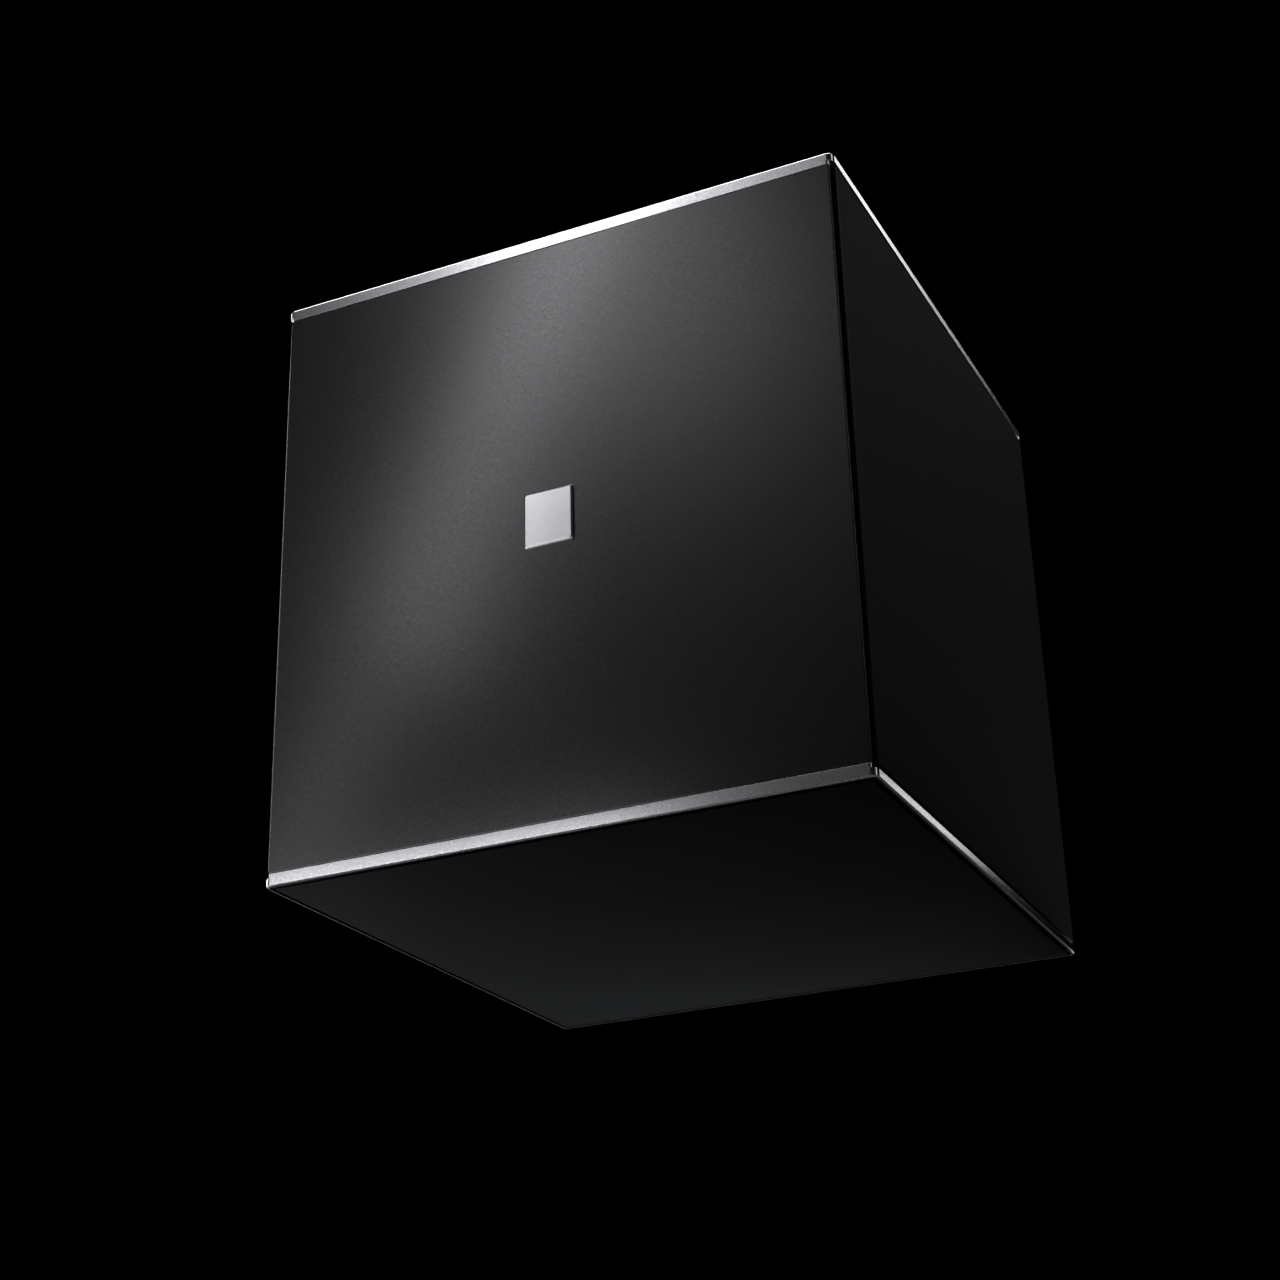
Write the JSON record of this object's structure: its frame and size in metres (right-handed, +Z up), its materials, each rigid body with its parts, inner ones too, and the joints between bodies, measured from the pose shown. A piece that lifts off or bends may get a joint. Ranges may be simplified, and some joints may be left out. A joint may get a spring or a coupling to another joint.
{
  "type": "powered subwoofer",
  "caption": "Compact black cube subwoofer with a floating cloth grille, bright metal bands round its top and bottom edges and a rear amplifier plate.",
  "frame": {"origin": "under the middle of the cabinet, on the underside of the bottom board", "axes": "+X to the right seen from the front, +Y towards the rear plate, +Z up"},
  "size_m": [0.32, 0.346, 0.332],
  "materials": {
    "band_metal": "satin anodised",
    "black_lacquer": "satin black lacquer on fibreboard",
    "black_board": "matt black stained fibreboard",
    "raw_board": "bare fibreboard",
    "wadding": "loose fibre",
    "grille_cloth_black": "tight black knit",
    "black_plastic": "moulded",
    "knob_plastic": "fine turned texture",
    "black_rubber": "smooth",
    "foam_black": "closed cell foam",
    "basket_paint": "semi-matt powder coat",
    "screw_black": "black oxide",
    "zinc_steel": "zinc plated",
    "ferrite": "sintered",
    "cone_paper": "pressed pulp",
    "spider_cloth": "impregnated",
    "former_foil": "bare foil",
    "coil_copper": "enamelled wire",
    "lead_sleeve": "smooth sleeve",
    "plate_paint": "fine textured powder coat",
    "sink_anodised": "black anodised",
    "circuit_board": "solder mask",
    "transformer_tape": "wound tape over copper and steel",
    "can_sleeve": "shrink sleeve over aluminium",
    "bright_metal": "polished plate",
    "socket_gold": "gilt plate",
    "socket_insert": "moulded inserts, one colour each",
    "lens_blue": "clear tinted",
    "badge_metal": "brushed, bevelled"
  },
  "bodies": {
    "cabinet": {"top_band": "band_metal", "bottom_band": "band_metal", "top_panel": "black_lacquer", "bottom_panel": "black_lacquer", "left_side_panel": "black_lacquer", "right_side_panel": "black_lacquer", "rear_panel": "black_lacquer", "front_baffle": "black_board", "window_brace": "raw_board", "corner_battens": "raw_board", "damping_pads": "wadding", "grille_cups": "black_rubber", "driver_gasket": "foam_black", "driver_basket": "basket_paint", "driver_screws": "screw_black", "top_plate": "zinc_steel", "magnet_ring": "ferrite", "t_yoke": "zinc_steel", "terminal_block": "black_plastic", "driver_leads": "lead_sleeve", "spider": "spider_cloth", "surround": "black_rubber", "amp_plate": "plate_paint", "amp_gasket": "foam_black", "amp_screws": "screw_black", "heatsink": "sink_anodised", "board_standoffs": "socket_gold", "main_board": "circuit_board", "power_transformer": "transformer_tape", "transformer_bolt": "zinc_steel", "capacitors": "can_sleeve", "control_board": "circuit_board", "pot_bodies": "zinc_steel", "pot_nuts": "bright_metal", "phase_switch_body": "zinc_steel", "mode_switch_body": "zinc_steel", "phono_sockets": "socket_gold", "phono_insulators": "socket_insert", "mains_inlet": "black_plastic", "mains_pins": "bright_metal", "inlet_screws": "screw_black", "rocker_frame": "black_plastic", "indicator_lens": "lens_blue"},
    "cone_assembly": {"cone": "cone_paper", "dust_cap": "cone_paper", "voice_coil_former": "former_foil", "voice_coil_winding": "coil_copper"},
    "grille": {"grille_frame": "black_plastic", "grille_cloth": "grille_cloth_black", "grille_pegs": "black_plastic", "badge_plate": "badge_metal"},
    "gain_control": {"gain_shaft": "zinc_steel", "gain_knob": "knob_plastic"},
    "crossover_control": {"crossover_shaft": "zinc_steel", "crossover_knob": "knob_plastic"},
    "phase_nub": {"phase_slider": "black_plastic"},
    "mode_nub": {"mode_slider": "black_plastic"},
    "power_rocker": {"rocker_button": "black_plastic"}
  },
  "joints": [
    {"name": "cone_travel", "type": "slide", "parent": "cabinet", "child": "cone_assembly", "axis": [0, -1, 0], "range_m": [-0.006, 0.006], "stiffness_N_per_m": 3000, "deforming": ["surround", "spider"]},
    {"name": "grille_pull", "type": "slide", "parent": "cabinet", "child": "grille", "axis": [0, -1, 0], "range_m": [0, 0.04]},
    {"name": "gain_turn", "type": "hinge", "parent": "cabinet", "child": "gain_control", "pos_m": [0.045, 0.1698, 0.258], "axis": [0, 1, 0], "range_deg": [-150, 150]},
    {"name": "crossover_turn", "type": "hinge", "parent": "cabinet", "child": "crossover_control", "pos_m": [-0.045, 0.1698, 0.258], "axis": [0, 1, 0], "range_deg": [-150, 150]},
    {"name": "phase_slide", "type": "slide", "parent": "cabinet", "child": "phase_nub", "axis": [-1, 0, 0], "range_m": [0, 0.004]},
    {"name": "mode_slide", "type": "slide", "parent": "cabinet", "child": "mode_nub", "axis": [-1, 0, 0], "range_m": [0, 0.004]},
    {"name": "power_rock", "type": "hinge", "parent": "cabinet", "child": "power_rocker", "pos_m": [-0.002, 0.1603, 0.076], "axis": [1, 0, 0], "range_deg": [0, 18]}
  ]
}
